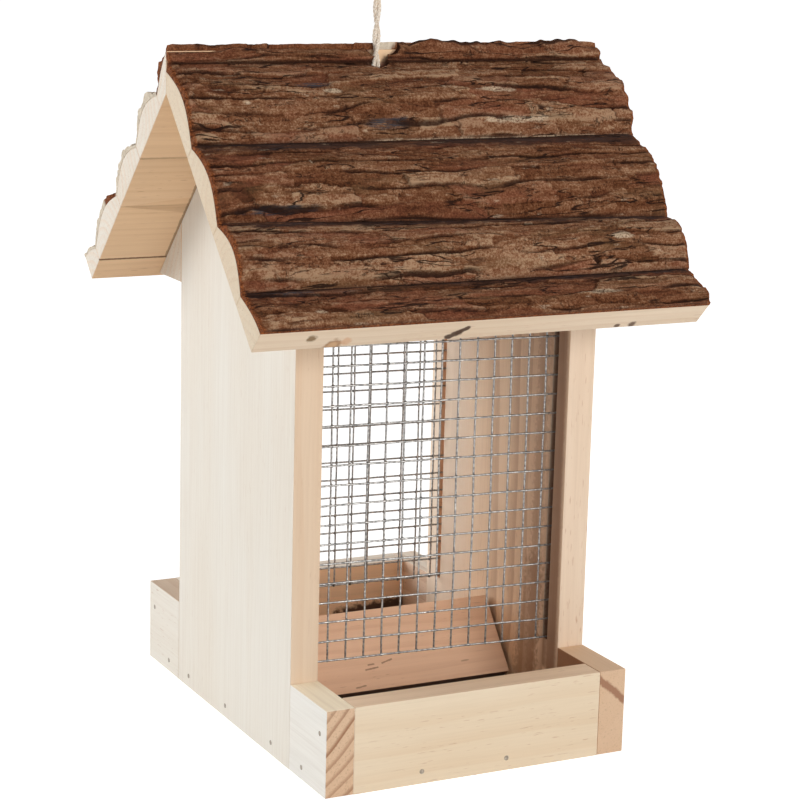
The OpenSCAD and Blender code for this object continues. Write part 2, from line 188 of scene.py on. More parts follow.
class Shader(Nodes):
    """A node material."""

    def __init__(self, name):
        self.mat = bpy.data.materials.new(name)
        self.mat.use_nodes = True
        super().__init__(self.mat.node_tree)
        self.bsdf = self.tree.nodes["Principled BSDF"]

    def attribute(self, name):
        return self.node("ShaderNodeAttribute", attribute_name=name).outputs["Fac"]

    def place(self):
        """Object coordinates in millimetres, and the object's own normal."""
        n = self.node("ShaderNodeTexCoord")
        return self.vec("MULTIPLY", n.outputs["Object"], (1000, 1000, 1000)), n.outputs["Normal"]

    def bump(self, height, strength, distance):
        n = self.node("ShaderNodeBump", {"Height": height, "Strength": strength, "Distance": distance * MM})
        self.put(self.bsdf.inputs["Normal"], n.outputs[0])

    def done(self, colour, rough):
        self.put(self.bsdf.inputs["Base Color"], colour)
        self.put(self.bsdf.inputs["Roughness"], rough)
        return self.mat


# The two axes across the grain, then the one along it
AXES = {"x": (1, 2, 0), "y": (2, 0, 1), "z": (0, 1, 2)}


def pine(name, grain, pith, ring=4.0, light=(226, 206, 180), late=(204, 172, 138), contrast=0.5, dashes=0.5,
         wander=1.0, late_from=0.3, pale=None, outer=-1, ends=(212, 180, 150), top=None, inside=None,
         outside=1.0, marks=(), inner_marks=()):
    """Planed pine with growth rings round a pith line along the grain, so that faces and ends fit together.

    ring is the rings' width, light and late the colours of early and late wood, contrast the depth of late
    wood and dashes that of resin dashes. wander says how much the rings wander, late_from where their dark
    part starts. pale is painted light: a paler colour for the broad face that looks along X with the sign
    outer. ends is a colour for end grain, top for faces that look up, painted lighter or darker for how
    they are lit, and inside (axis, sign, colour, strength) for faces that look that way, painted light on
    some pieces, where strength paints that colour over the grain, as painted shade under the seed boards;
    outside scales the rings' depth on all others. marks are knots, stains, painted shade and painted light,
    (point, other point, radius, colour, strength, raggedness); inner_marks lie on inside faces alone."""
    s = Shader(name)
    p, normal = s.place()
    parts = s.node("ShaderNodeSeparateXYZ", {0: p}).outputs
    order = AXES[grain]
    q = s.node("ShaderNodeCombineXYZ", {i: parts[order[i]] for i in range(3)}).outputs[0]
    wobble = s.math("SUBTRACT", s.noise(q, (0.02, 0.02, 0.006), 2.0), 0.5)
    slow = s.math("SUBTRACT", s.noise(q, (0.05, 0.05, 0.011), 1.0), 0.5)
    flat = s.node("ShaderNodeSeparateXYZ", {0: q}).outputs
    dx = s.math("ADD", s.math("SUBTRACT", flat[0], pith[0]), s.math("MULTIPLY", wobble, 12.0 * wander))
    dy = s.math("ADD", s.math("SUBTRACT", flat[1], pith[1]), s.math("MULTIPLY", slow, 7.0 * wander))
    radius = s.math("SQRT", s.math("ADD", s.math("MULTIPLY", dx, dx), s.math("MULTIPLY", dy, dy)))
    phase = s.math("DIVIDE", radius, ring)
    turn = s.math("FRACT", phase)
    dark = s.math("MULTIPLY", s.span(turn, late_from, 0.9), s.span(turn, 0.92, 1.0, 1.0, 0.0))
    whole = s.math("FLOOR", phase)
    vary = s.node("ShaderNodeTexWhiteNoise", {"W": whole}, noise_dimensions="1D").outputs["Value"]
    fibre = s.noise(q, (1.5, 1.5, 0.035), 4.0, 0.6)
    dash = s.noise(q, (2.4, 2.4, 0.2), 1.5, 0.5)
    tint = s.noise(q, (0.03, 0.03, 0.01), 2.0)
    along = s.node("ShaderNodeSeparateXYZ", {0: normal}).outputs
    end = s.span(s.math("ABSOLUTE", along[order[2]]), 0.7, 0.95)
    depth = s.math("MULTIPLY", dark, s.math("MULTIPLY_ADD", vary, 0.6, 0.4))
    depth = s.math("MULTIPLY", depth, contrast)
    base = srgb(*light)
    # Painted light on the outer broad face.
    if pale:
        broad = s.span(s.math("MULTIPLY", along[0], outer), 0.6, 0.95)
        base = s.mix(broad, base, srgb(*pale))
    # Painted light or painted shade on faces that look up.
    if top:
        base = s.mix(s.span(along[2], 0.6, 0.95), base, srgb(*top))
    inner = 0.0
    # Own colour of inside faces, painted light on some pieces.
    if inside:
        axis, sign, tint_inside, shade_and_stain = inside
        inner = s.span(s.math("MULTIPLY", along[axis], sign), 0.35, 0.7)
        base = s.mix(inner, base, srgb(*tint_inside))
    if pale:
        depth = s.math("MULTIPLY", depth, s.math("MULTIPLY_ADD", broad, -0.93, 1.0))
    if inside and outside != 1.0:
        depth = s.math("MULTIPLY", depth, s.math("MULTIPLY_ADD", inner, 1 - outside, outside))
    base = s.mix(end, base, srgb(*ends))
    colour = s.mix(depth, base, srgb(*late))
    colour = s.mix(s.span(fibre, 0.35, 0.75, 0.0, 0.1), colour, dimmed(late, 0.84))
    colour = s.mix(s.span(tint, 0.3, 0.7, 0.0, 0.2), colour, srgb(242, 224, 202), "MULTIPLY")
    if dashes:
        patch = s.math("MULTIPLY", s.span(tint, 0.4, 0.6), dashes)
        colour = s.mix(s.math("MULTIPLY", s.span(dash, 0.66, 0.74), patch), colour, srgb(172, 122, 92))
    pores = s.span(s.noise(p, (1.9, 1.9, 1.9), 2.0, 0.6), 0.55, 0.75, 0.0, 0.35)
    colour = s.mix(s.math("MULTIPLY", end, pores), colour, dimmed(late, 0.72))
    for mark, share_of in [(m, None) for m in marks] + [(m, inner) for m in inner_marks]:
        a, b, size, shade, strength, rough_edge = mark
        reach = [v - u for u, v in zip(a, b)]
        square = sum(v * v for v in reach)
        off = s.vec("SUBTRACT", p, a)
        if square > 0:
            share = s.math("DIVIDE", s.vec("DOT_PRODUCT", off, reach), square)
            share = s.node("ShaderNodeClamp", {0: share}).outputs[0]
            n = s.node("ShaderNodeVectorMath", {0: reach, "Scale": share}, operation="SCALE")
            off = s.vec("SUBTRACT", off, n.outputs[0])
        ragged = s.noise(p, (0.6, 0.6, 0.6), 3.0, 0.65)
        ragged = s.math("MULTIPLY", s.math("SUBTRACT", ragged, 0.5), rough_edge)
        d = s.math("ADD", s.math("DIVIDE", s.vec("LENGTH", off), size), ragged)
        cover = s.span(d, 0.5, 1.05, strength, 0.0)
        if share_of is not None:
            cover = s.math("MULTIPLY", cover, share_of)
        colour = s.mix(cover, colour, srgb(*shade))
    # Inside faces painted over in their colour: painted shade under the seed boards.
    if inside and shade_and_stain:
        colour = s.mix(s.math("MULTIPLY", inner, shade_and_stain), colour, srgb(*tint_inside))
    s.bump(s.math("ADD", s.math("MULTIPLY", fibre, 0.7), s.math("MULTIPLY", depth, 0.5)), 0.22, 0.12)
    s.put(s.bsdf.inputs["Specular IOR Level"], 0.3)
    return s.done(colour, s.span(fibre, 0.2, 0.8, 0.55, 0.7))


def bark_material():
    """Flaky brown bark. Tone with painted light on ridges and painted shade in hollows, redness, scrapes,
    painted shade along the slab joints, bluish stains, sawn rims and bare ends come with the mesh; cracks
    and fibres follow the distance down the slope, which comes with it too."""
    s = Shader("bark")
    p, _ = s.place()
    x = s.node("ShaderNodeSeparateXYZ", {0: p}).outputs[0]
    down, slab = s.attribute("down"), s.attribute("slab")
    q = s.node("ShaderNodeCombineXYZ", {0: x, 1: down, 2: slab}).outputs[0]
    wander = s.math("SUBTRACT", s.noise(q, (0.022, 0.07, 1), 2.0), 0.5)
    bent = s.math("MULTIPLY_ADD", wander, 6.0, down)
    q2 = s.node("ShaderNodeCombineXYZ", {0: x, 1: bent, 2: slab}).outputs[0]

    def crack(size, width, depth, where, lo, hi):
        line = s.math("ABSOLUTE", s.math("SUBTRACT", s.noise(q2, size, 3.0, 0.5), 0.5))
        opened = s.span(s.noise(q, where, 1.0), lo, hi)
        return s.math("MULTIPLY", s.span(line, 0.3 * width, width, depth, 0.0), opened)

    long_crack = crack((0.02, 0.2, 1), 0.012, 1.0, (0.03, 0.1, 1), 0.47, 0.53)
    short_crack = crack((0.07, 0.5, 1), 0.013, 0.8, (0.06, 0.18, 1), 0.55, 0.62)
    cross_crack = crack((0.42, 0.2, 1), 0.012, 0.8, (0.09, 0.25, 1), 0.58, 0.64)
    fibre = s.noise(q2, (0.2, 1.7, 1), 4.0, 0.65)
    streak = s.noise(q2, (0.05, 0.5, 1), 3.0, 0.6)
    grit = s.noise(p, (1.5, 1.5, 1.5), 5.0, 0.75)
    lump = s.noise(q2, (0.35, 0.75, 1), 3.0, 0.6)
    blotch = s.noise(q, (0.05, 0.16, 1), 3.0, 0.6)
    hue = s.noise(q2, (0.03, 0.14, 1), 3.0, 0.6)
    tone = s.attribute("tone")
    for value, weight in ((fibre, 0.45), (streak, 0.5), (grit, 2.2), (lump, 0.7)):
        tone = s.math("MULTIPLY_ADD", s.math("SUBTRACT", value, 0.5), weight, tone)
    n = s.node("ShaderNodeValToRGB", {0: tone})
    stops = [(0.0, (66, 35, 17)), (0.28, (98, 57, 33)), (0.52, (122, 79, 53)), (0.76, (146, 104, 76)),
             (1.0, (180, 145, 114))]
    while len(n.color_ramp.elements) < len(stops):
        n.color_ramp.elements.new(0.5)
    for element, (at, shade) in zip(n.color_ramp.elements, stops):
        element.position = at
        element.color = srgb(*shade)
    colour = n.outputs[0]
    colour = s.mix(s.span(hue, 0.5, 0.7, 0.0, 0.35), colour, srgb(116, 92, 64))
    red = s.math("MULTIPLY", s.attribute("red"), s.span(blotch, 0.38, 0.62, 0.3, 1.0))
    rust = s.mix(s.span(grit, 0.35, 0.65), srgb(112, 61, 41), srgb(154, 94, 70))
    colour = s.mix(s.math("MULTIPLY", red, 0.66), colour, rust)
    # The first is painted shade along the slab joints; the second is partly painted shade there and partly
    # bluish stains.
    for kind, lo, hi, shade in (("joint_shade", 0.25, 0.5, (68, 46, 38)), ("blue", 0.35, 0.6, (70, 66, 70))):
        shade_and_stain = s.math("MULTIPLY", s.attribute(kind), s.span(fibre, lo, hi))
        colour = s.mix(shade_and_stain, colour, srgb(*shade))
    scrape = s.math("MULTIPLY", s.attribute("scrape"), s.span(grit, 0.36, 0.56))
    colour = s.mix(scrape, colour, srgb(208, 184, 156))
    gap = s.attribute("crack")
    for line in (long_crack, short_crack, cross_crack):
        gap = s.math("MAXIMUM", gap, line)
    colour = s.mix(s.math("MULTIPLY", gap, 0.92), colour, srgb(38, 20, 13))
    rim = s.math("MULTIPLY", s.attribute("rim"), s.span(grit, 0.3, 0.55, 0.55, 1.0))
    sawn = s.mix(s.span(grit, 0.4, 0.65), srgb(98, 50, 26), srgb(172, 100, 56))
    colour = s.mix(rim, colour, sawn)
    wood = s.mix(s.span(grit, 0.3, 0.7), srgb(222, 205, 181), srgb(238, 226, 207))
    colour = s.mix(s.attribute("bare"), colour, wood)
    height = s.math("ADD", s.math("MULTIPLY_ADD", grit, 0.8, fibre), s.math("MULTIPLY", lump, 1.2))
    s.bump(s.math("MULTIPLY_ADD", gap, -1.5, height), 0.9, 0.7)
    s.put(s.bsdf.inputs["Specular IOR Level"], 0.12)
    return s.done(colour, s.span(grit, 0.3, 0.7, 0.78, 0.95))


def metal(name, scale, rough, clear, dark, light, metallic, gloss):
    """Dull metal with fine spots, such as a spangle of zinc or tarnish."""
    s = Shader(name)
    p, _ = s.place()
    spots = s.noise(p, (scale, scale, scale), 3.0, rough)
    colour = s.mix(s.span(spots, 0.35, clear), srgb(*dark), srgb(*light))
    s.put(s.bsdf.inputs["Metallic"], metallic)
    s.bump(spots, 0.2, 0.05)
    return s.done(colour, s.span(spots, 0.3, 0.7, *gloss))


def jute_material():
    """Plant fibre in straw and brown strands."""
    s = Shader("jute")
    p, _ = s.place()
    strand = s.noise(p, (2.2, 2.2, 2.2), 4.0, 0.7)
    blotch = s.noise(p, (0.25, 0.25, 0.25), 2.0)
    colour = s.mix(s.span(strand, 0.3, 0.7), srgb(198, 176, 152), srgb(252, 245, 234))
    colour = s.mix(s.span(blotch, 0.45, 0.7, 0.0, 0.5), colour, srgb(226, 208, 186))
    s.bump(strand, 0.5, 0.12)
    return s.done(colour, s.span(strand, 0.3, 0.7, 0.8, 0.96))


BARK = bark_material()
WIRE = metal("galvanised", 1.1, 0.7, 0.7, (116, 116, 116), (204, 202, 199), 0.75, (0.42, 0.26))
STEEL = metal("brad_steel", 1.7, 0.6, 0.65, (126, 112, 98), (178, 168, 154), 0.25, (0.4, 0.62))
JUTE = jute_material()


def add_mesh(name, verts, faces, material, body, flat_from=None):
    """A new piece from points in millimetres, shaded smooth, or up to the face flat_from alone."""
    mesh = bpy.data.meshes.new(name)
    mesh.from_pydata((np.asarray(verts, float) * MM).tolist(), [], faces)
    mesh.update()
    smooth_faces = np.zeros(len(mesh.polygons), bool)
    smooth_faces[:flat_from] = True
    mesh.polygons.foreach_set("use_smooth", smooth_faces)
    mesh.materials.append(material)
    piece = bpy.data.objects.new(name, mesh)
    bpy.context.scene.collection.objects.link(piece)
    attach(piece, body)
    return piece


def panel(edge, x, s, n):
    """Point on a roof panel: x along the ridge, s down the slope, n square to it.
    edge is -1 for the front panel and 1 for the rear one."""
    return np.stack([x, edge * (s + n) * HALF_ROOT, APEX_Z + (n - s) * HALF_ROOT], axis=-1)


def wood_n(slab, u):
    """Thickness of the sapwood at share u of the slab's width."""
    arch = slab.arch_from + (slab.arch_to - slab.arch_from) * u
    return SLAB_EDGE + (slab.crown - SLAB_EDGE) * np.sin(np.pi * arch)


def flakes(x, s, seed, width, length):
    """Long flakes in wandering rows along X: two random numbers of each flake, the place across its row,
    and the distances to the flake's sides and ends in millimetres."""
    r = s / width + 0.8 * fbm(x / (1.6 * length), s / (5 * width), seed, 3)
    row = np.floor(r)
    across = r - row
    zero = row * 0
    size = length * (0.6 + 0.8 * lattice(row, zero, seed + 2))
    lean = 0.5 * (across - 0.5) * (lattice(row, zero + 3, seed) - 0.5)
    c = x / size + 9 * lattice(row, zero, seed + 1) + lean
    c = c + 0.06 * perlin(x / 3, s / 1.5, seed + 5)
    column = np.floor(c)
    along = c - column
    side = np.minimum(across, 1 - across) * width
    end = np.minimum(along, 1 - along) * size
    return lattice(row, column, seed + 3), lattice(row, column, seed + 4), across, side, end


def blurred(v, across, along):
    """Mean over a window of grid points, for the difference between ridges and hollows that paints light
    and shade on the bark.
    """
    for axis, reach in ((0, across), (1, along)):
        pad = [(reach + 1, reach) if k == axis else (0, 0) for k in range(2)]
        total = np.cumsum(np.pad(v, pad, "edge"), axis=axis)
        width = 2 * reach + 1
        v = (np.take(total, range(width, total.shape[axis]), axis)
             - np.take(total, range(total.shape[axis] - width), axis)) / width
    return v


def bark_field(x, s, seed):
    """Relief in millimetres and colour values of bark whose flakes and furrows run along X."""
    ws = s + 1.3 * fbm(x / 38, s / 10, seed + 6, 3)
    a, b, across, side, end = flakes(x, ws, seed + 7, 5.2, 36)
    a2, b2, across2, side2, _ = flakes(x, ws, seed + 30, 2.2, 11)
    broken = smooth(-0.25, 0.2, fbm(x / 30, s / 8, seed + 8, 2))
    furrow = (1 - smooth(0.1, 0.6, side)) * broken
    step = (1 - smooth(0.0, 0.5, end)) * broken
    relief = 1.1 * (a - 0.5) + 0.8 * (across - 0.5) * (b - 0.3)
    relief = relief + 0.5 * (a2 - 0.5) + 0.35 * (across2 - 0.5) * (b2 - 0.4)
    relief += 0.22 * fbm(x / 9, ws / 1.0, seed + 9, 3) + 0.8 * perlin(x / 46, s / 11, seed + 10)
    relief -= 0.75 * furrow + 0.3 * step + 0.2 * (1 - smooth(0.0, 0.35, side2)) * broken
    relief += 0.4 * fbm(x / 4.0, ws / 2.0, seed + 19, 2) + 0.2 * fbm(x / 1.6, ws / 1.2, seed + 25, 2)
    # The term with across paints light along the lower edge of most flakes and shade along their upper
    # edge, under the flake above.
    tone = 0.55 + 0.27 * (a - 0.5) + 0.24 * (a2 - 0.5) + 0.18 * (across - 0.5) * (b - 0.3)
    tone = tone + 0.3 * perlin(x / 33, s / 6, seed + 13)
    red = smooth(0.45, 0.85, b) * 0.85 + 0.3 * smooth(0.6, 0.9, b2)
    dark = np.clip(0.95 * furrow + 0.55 * step, 0, 1)
    scrape = smooth(0.54, 0.68, fbm(x / 10, s / 2.4, seed + 14, 3)) * 0.6
    # Painted light on the relief's ridges and painted shade in its hollows.
    tone = tone + 0.42 * (relief - blurred(relief, 4, 5))
    return relief, tone, np.clip(red, 0, 1), dark, scrape


def closed_grid(nx, nu):
    """Faces of a solid whose top grid and bottom grid have nx by nu points; the top's faces come first."""
    def at(k, i, j):
        return (k * nx + i) * nu + j
    top, rest = [], []
    for i in range(nx - 1):
        for j in range(nu - 1):
            top.append((at(0, i, j), at(0, i, j + 1), at(0, i + 1, j + 1), at(0, i + 1, j)))
    for i in range(nx - 1):
        rest.append((at(0, i, 0), at(0, i + 1, 0), at(1, i + 1, 0), at(1, i, 0)))
        rest.append((at(0, i, nu - 1), at(1, i, nu - 1), at(1, i + 1, nu - 1), at(0, i + 1, nu - 1)))
        for j in range(nu - 1):
            rest.append((at(1, i, j), at(1, i + 1, j), at(1, i + 1, j + 1), at(1, i, j + 1)))
    for j in range(nu - 1):
        rest.append((at(0, 0, j), at(1, 0, j), at(1, 0, j + 1), at(0, 0, j + 1)))
        rest.append((at(0, nx - 1, j), at(0, nx - 1, j + 1), at(1, nx - 1, j + 1), at(1, nx - 1, j)))
    return top, rest


def bark_solid(name, top, low, flip):
    """Closed piece of bark between two grids of points, of which the top is shaded smooth."""
    up, rest = closed_grid(*top.shape[:2])
    faces = [f[::-1] for f in up + rest] if flip else up + rest
    verts = np.concatenate([top.reshape(-1, 3), low.reshape(-1, 3)])
    return add_mesh(name, verts, faces, BARK, "roof", len(up))


def bark_piece(name, edge, slab, seed, step_x=0.5, step_u=0.38, marks=(), lift=0.0):
    """Bark on one slab: a relief over the sapwood's arch, closed underneath, with ragged sawn ends.
    marks are (kind, x, place down the slope, half length, half width); lift brightens the whole slab."""
    top_slab = slab.upper == 0
    start = -wood_n(slab, 0.0) if top_slab else slab.upper
    length = ROOF_LEN + slab.extra
    nx = int(length / step_x) + 1
    nu = int((slab.lower - start + max(slab.upper_drop, slab.lower_drop)) / step_u) + 1
    x, u = np.meshgrid(np.linspace(0, 1, nx) * length - ROOF_LEN / 2, np.linspace(0, 1, nu), indexing="ij")
    share = x / ROOF_LEN + 0.5
    upper = start + slab.upper_drop * share
    lower = slab.lower + slab.lower_drop * share
    s = upper + (lower - upper) * u
    base = wood_n(slab, u)
    relief, tone, red, dark, scrape = bark_field(x, s, seed)
    calm = smooth(0.0, 0.09, u) * smooth(0.0, 0.06, 1 - u)
    left, right = x + ROOF_LEN / 2, ROOF_LEN / 2 + slab.extra - x
    end = np.minimum(left, right)
    calm = (0.3 + 0.7 * calm) * (0.25 + 0.75 * smooth(0.5, 6.0, right))
    thick = BARK_EDGE + (BARK_T - BARK_EDGE) * np.sin(np.pi * u) + relief * calm
    if top_slab and edge < 0:
        thick = thick + (RIDGE_BARK - BARK_EDGE) * np.maximum(0, 1 - 3 * u) ** 2
    chip = (1 - smooth(0.0, 2.4, end)) * smooth(-0.2, 0.4, fbm(x * 0 + 5.5, s / 6, seed + 15, 3))
    thick = thick * (1 - 0.4 * chip)
    wave = 0.05 * fbm(x / 12, s / 3, seed + 24, 3)
    # Painted shade along the slab joints: joint is a band along the slab's upper edge, under the slab
    # above; there and along the lower edge the bark is painted greyer, bluer and darker, with a dark line
    # at the joint itself.
    joint = 0 * u if top_slab else 1 - smooth(0.1, 0.2, u + wave)
    patchy = smooth(-0.5, 0.0, fbm(x / 34, s / 5, seed + 16, 2))
    joint_shade = np.maximum(joint * (0.35 + 0.65 * patchy), 0.5 * (1 - smooth(0.0, 0.04, 1 - u)))
    blue = joint * smooth(0.15, 0.4, fbm(x / 14, s / 1.5, seed + 18, 2)) * 0.4
    dark = np.maximum(dark, 0.8 * joint * (1 - smooth(0.0, 0.06, u)))
    lumps = (1 - smooth(6.0, 28.0, left)) * fbm(x / 5, s / 3.2, seed + 28, 3)
    thick = thick + 0.7 * lumps * calm
    tone = tone + lift - 0.2 * joint * patchy + 0.6 * lumps - 0.06 * (1 - smooth(3.0, 10.0, left))
    bare = 0 * x
    if edge > 0:
        keep = 1 - smooth(4.0, 6.0, np.abs(s - 63)) + (slab.lower < 10)
        peeled = 1 - smooth(0.7, 1.7, left + 0.8 * fbm(s / 6, x / 4, seed + 26, 2))
        bare = peeled * (1 - np.clip(keep, 0, 1))
    bare_low = bare
    if edge > 0 and top_slab:
        torn = x + 0.9 * fbm(x / 1.3, s / 3, seed + 27, 2)
        start_torn = smooth(-4.8, -4.0, torn) * (u < 0.03) * 0.9
        bare_low = np.maximum(bare, start_torn * (1 - smooth(-0.2, 0.8, torn)))
        bare = np.maximum(bare, start_torn * (1 - smooth(1.0, 2.0, torn)))
    for kind, mx, ms, rx, rs in marks:
        reach = np.hypot((x - mx) / rx, (s - ms) / rs)
        inside = 1 - smooth(0.6, 1.0, reach + 0.55 * fbm(x / 6, s / 2, seed + 20, 2))
        if kind == "scrape":
            scrape = np.maximum(scrape, inside)
        elif kind == "pale":
            tone = tone + 0.14 * inside
        elif kind == "dark":
            tone = tone - 0.4 * inside
            thick = thick - 0.5 * inside
        elif kind == "blue":
            blue = np.maximum(blue, inside)
        elif kind == "hole":
            hole = 1 - smooth(0.75, 1.1, reach)
            thick = thick - 1.6 * hole
            dark = np.maximum(dark, hole)
        elif kind == "lip":
            lip = (1 - smooth(0.0, 0.018, 1 - u)) * (1 - smooth(0.8, 1.0, np.abs(x - mx) / rx))
            scrape = np.maximum(scrape, lip * smooth(-0.3, 0.0, perlin(x / 9, s * 0, seed + 21)))
            dark = dark * (1 - lip)
            joint_shade = joint_shade * (1 - lip)
    thick = np.maximum(thick, 0.3)
    n = base + thick
    ragged = (1 - smooth(0.0, 2.5, end)) * (fbm(s / 5, x * 0 + 2.5, seed + 22, 3) + 0.15) * (1 - bare)
    x_top = x + ragged * np.where(left < right, 1, -1)
    s_top = np.where(top_slab & (u == 0), -n, s)
    top = panel(edge, x_top, s_top, n)
    low = panel(edge, x, s, base - 0.05)
    if top_slab:
        low[:, 0] = panel(edge, x[:, 0], -base[:, 0], base[:, 0])
    piece = bark_solid(name, top, low, flip=edge > 0)
    rim = (1 - smooth(0.2, 1.3, end + 0.8 * fbm(s / 2, x / 2, seed + 23, 2))) * (1 - bare)
    colour_values(piece, s, seed, tone, red, dark * (1 - bare), scrape, joint_shade, blue, rim, bare, bare_low,
                  0.4 if top_slab else 1.0)
    return piece


def colour_values(piece, s, seed, tone, red, dark, scrape, joint_shade, blue, rim, bare, bare_low, under=1.0):
    """Point values for the bark's material, of the top and then of the underside, which is sawn rim to the
    share under and bare to the share bare_low."""
    zero = np.zeros(s.size)
    both = {
        "down": (s, s), "slab": (zero + seed, zero + seed), "tone": (tone, zero + 0.4), "red": (red, zero),
        "crack": (dark, zero), "scrape": (scrape, zero), "joint_shade": (joint_shade, zero), "blue": (blue, zero),
        "rim": (rim, under * (1 - bare_low)), "bare": (bare, bare_low),
    }
    for name, (top, low) in both.items():
        a = piece.data.attributes.new(name, "FLOAT", "POINT")
        a.data.foreach_set("value", np.concatenate([np.ravel(top), np.ravel(low)]).astype(np.float32))


def ridge_strip_piece():
    """Bark-faced strip in the corner between the front panel's top and the rear top slab."""
    slab = FRONT_SLABS[0]
    nx, nv = 300, 20
    low = np.array([-SLAB_EDGE - RIDGE_BARK, SLAB_EDGE + RIDGE_BARK])
    u = 1 / 12
    first = np.array([
        -SLAB_EDGE + (slab.lower + SLAB_EDGE) * u,
        wood_n(slab, u) + BARK_EDGE + (BARK_T - BARK_EDGE) * math.sin(math.pi * u)
        + (RIDGE_BARK - BARK_EDGE) * (1 - 3 * u) ** 2,
    ])
    seat = low + 0.55 * (first - low)
    high = np.array([-8.9, 8.9])
    x, v = np.meshgrid(np.linspace(-0.5, 0.5, nx) * ROOF_LEN, np.linspace(0, 1, nv), indexing="ij")
    s = 30 + v * 6
    relief, tone, red, dark, scrape = bark_field(x, s, 71)
    swell = (1.7 + 0.75 * relief) * np.sin(np.pi * v) ** 0.7
    rise = smooth(-63, -54, x) * (0.75 + 1.0 * fbm(x / 11, x * 0 + 1.5, 73, 3)) + 0.1
    proud = smooth(-3, 5, x) * (1 - smooth(68, 77, x)) * (1.1 + 0.9 * fbm(x / 8, x * 0 + 4.5, 74, 3))
    rise = rise + np.maximum(proud, 0)
    along = seat[0] + (high[0] - seat[0]) * v + 0.3 * swell - rise * v ** 2
    n = seat[1] + (high[1] - seat[1]) * v + swell + rise * v ** 2
    inner_s = np.interp(v, [0, 0.5, 1], [seat[0], low[0], high[0]])
    inner_n = np.interp(v, [0, 0.5, 1], [seat[1], low[1], high[1]])
    top = panel(-1, x, along, n)
    under = panel(-1, x, inner_s, inner_n - 0.02)
    piece = bark_solid("ridge_strip_bark", top, under, flip=True)
    end = ROOF_LEN / 2 - np.abs(x)
    zero = 0 * x
    # Painted shade along the strip's lower edge, where it meets the front slab.
    dark = np.maximum(dark, 0.9 * (1 - smooth(0.05, 0.2, v)))
    colour_values(piece, s, 71, tone + 0.04, red * 0.7 + 0.35, dark, 0.4 * scrape, zero, zero,
                  1 - smooth(0.0, 0.9, end), zero, zero)
    return piece


def cut(tool, pieces):
    """Cuts a tool's shape out of these pieces."""
    for piece in pieces:
        m = piece.modifiers.new("notch", "BOOLEAN")
        m.operation = "DIFFERENCE"
        m.solver = "MANIFOLD"
        m.object = tool
        bpy.context.view_layer.update()
        done = bpy.data.meshes.new_from_object(piece.evaluated_get(bpy.context.evaluated_depsgraph_get()))
        piece.modifiers.clear()
        piece.data = done
    bpy.data.objects.remove(tool)


FRONT_MARKS = {
    0: [("scrape", 31.0, 10.0, 8.0, 1.3), ("scrape", -27.0, 9.5, 3.4, 1.0),
        ("scrape", -57.0, 13.5, 1.2, 0.7), ("pale", -20.0, 22.3, 34.0, 2.2),
        ("pale", 30.0, 21.0, 34.0, 2.6), ("blue", -10.0, 20.5, 9.0, 2.2),
        ("blue", -32.0, 6.5, 7.0, 1.2), ("dark", -64.0, 8.0, 7.0, 3.0),
        ("lip", 30.0, 25.0, 50.0, 1.0), ("scrape", 36.0, 20.5, 14.0, 1.0)],
    1: [("blue", -58.0, 52.0, 14.0, 1.2), ("scrape", -43.0, 36.5, 0.35, 0.9),
        ("pale", 10.0, 47.0, 40.0, 2.6), ("dark", -66.0, 46.0, 6.0, 3.4)],
    2: [("scrape", 55.0, 69.5, 5.0, 1.6), ("pale", 24.0, 74.5, 44.0, 3.0),
        ("pale", -44.0, 77.0, 24.0, 2.4), ("hole", 44.0, 76.8, 1.25, 1.25)],
    3: [("scrape", 38.0, 90.5, 9.0, 0.9), ("scrape", -57.0, 92.0, 2.4, 1.2),
        ("blue", -62.0, 82.5, 8.0, 0.9)],
}
LIFT = (0.05, -0.05, 0.15, -0.06)
for i, slab in enumerate(FRONT_SLABS):
    made = bark_piece(
        f"front_bark_{i + 1}_rough", -1, slab, 100 + 50 * i, marks=FRONT_MARKS[i], lift=LIFT[i])
    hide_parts(f"front_bark_{i + 1}")
    if i == 0:
        bark_top = made
for i, slab in enumerate(REAR_SLABS):
    made = bark_piece(f"rear_bark_{i + 1}_rough", 1, slab, 400 + 50 * i, 0.7, 0.5)
    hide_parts(f"rear_bark_{i + 1}")
strip = ridge_strip_piece()
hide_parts("ridge_strip")
bpy.ops.mesh.primitive_cylinder_add(
    vertices=48, radius=NOTCH_R * MM, depth=0.05,
    location=(NOTCH_X * MM, NOTCH_Y * MM, (APEX_Z + 10) * MM))
cut(bpy.context.object, [bark_top, strip])
bpy.ops.mesh.primitive_uv_sphere_add(
    segments=24, ring_count=16, radius=TORN_R * MM, location=[v * MM for v in TORN_AT])
cut(bpy.context.object, [strip])


def directions(line):
    """Unit direction at each point of a line."""
    tangent = np.gradient(line, axis=0)
    return tangent / np.linalg.norm(tangent, axis=1)[:, None]


def distances(line):
    """Distance along a line at each of its points."""
    return np.concatenate([[0], np.cumsum(np.linalg.norm(np.diff(line, axis=0), axis=1))])


